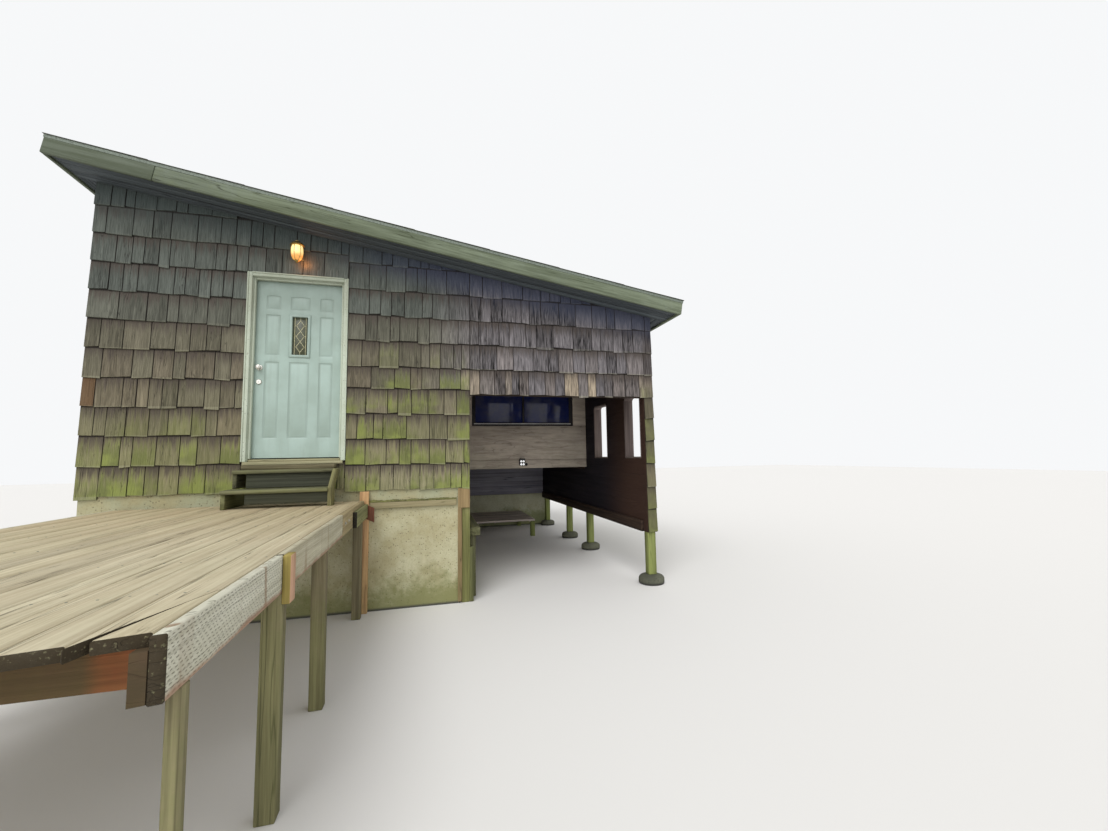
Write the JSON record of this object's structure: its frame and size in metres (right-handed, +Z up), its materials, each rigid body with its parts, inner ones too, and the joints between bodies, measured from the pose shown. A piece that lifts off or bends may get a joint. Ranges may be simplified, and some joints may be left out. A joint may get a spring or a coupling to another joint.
{
  "type": "boathouse",
  "caption": "Shingled single-pitch boathouse: a room with a hinged door and steps from a wood deck, beside a roofed boat slip whose water-side wall stands on posts and piers.",
  "frame": {"origin": "on the underside of the front foundation wall, in the middle of its thickness and under the middle of the building's width, at the level of the water", "axes": "+X along the front wall towards the water side, +Y into the building, +Z up"},
  "size_m": [6.8164, 11.0346, 4.856],
  "materials": {
    "concrete": "cast concrete with moss low down",
    "weathered_post": "weathered timber with algae",
    "framing": "bare softwood and boards",
    "siding": "dark boards behind the shingles",
    "shingles": "weathered cedar shingles",
    "plywood": "stained plywood",
    "window_frame": "dark bronze",
    "glass": "clear",
    "roofing": "mineral surfaced roll roofing",
    "fascia": "grey-green stain, weathered",
    "soffit": "dark stain",
    "white_trim": "off-white paint",
    "door_paint": "pale blue-green paint, satin",
    "steel": "satin",
    "lamp": "dark bronze with warm glass",
    "deck_wood": "weathered tan boards"
  },
  "bodies": {
    "building": {"foundation_front": "concrete", "foundation_left": "concrete", "foundation_rear": "concrete", "foundation_slip": "concrete", "foundation_timbers": "weathered_post", "room_floor": "framing", "slip_floor": "framing", "floor_joists": "framing", "front_wall_left": "siding", "front_wall_at_door": "siding", "front_wall_middle": "siding", "front_wall_over_slip": "siding", "left_wall": "siding", "rear_wall": "siding", "slip_side_wall": "plywood", "water_wall": "siding", "water_wall_rails": "siding", "slip_back_wall": "plywood", "slip_window_frame": "window_frame", "slip_window_glass": "glass", "front_shingles": "shingles", "side_shingles": "shingles", "rear_shingles": "shingles", "rafters": "framing", "roof_deck": "framing", "roofing": "roofing", "fascia": "fascia", "soffit": "soffit", "door_frame": "white_trim", "door_sill": "weathered_post", "door_hinges": "steel", "wall_lamps": "lamp", "door_steps": "weathered_post", "slip_posts": "weathered_post", "slip_piers": "concrete", "landing_boards": "weathered_post", "mooring_ledge": "weathered_post", "deck_boards": "deck_wood", "deck_rim": "deck_wood", "deck_joists": "framing", "deck_posts": "weathered_post"},
    "door": {"door_leaf": "door_paint", "door_light": "door_paint", "door_glass": "glass", "door_hardware": "steel"}
  },
  "joints": [
    {"name": "door_hinge", "type": "hinge", "parent": "building", "child": "door", "pos_m": [-0.756, 0.042, 2.734], "axis": [0, 0, -1], "range_deg": [0, 100]}
  ]
}
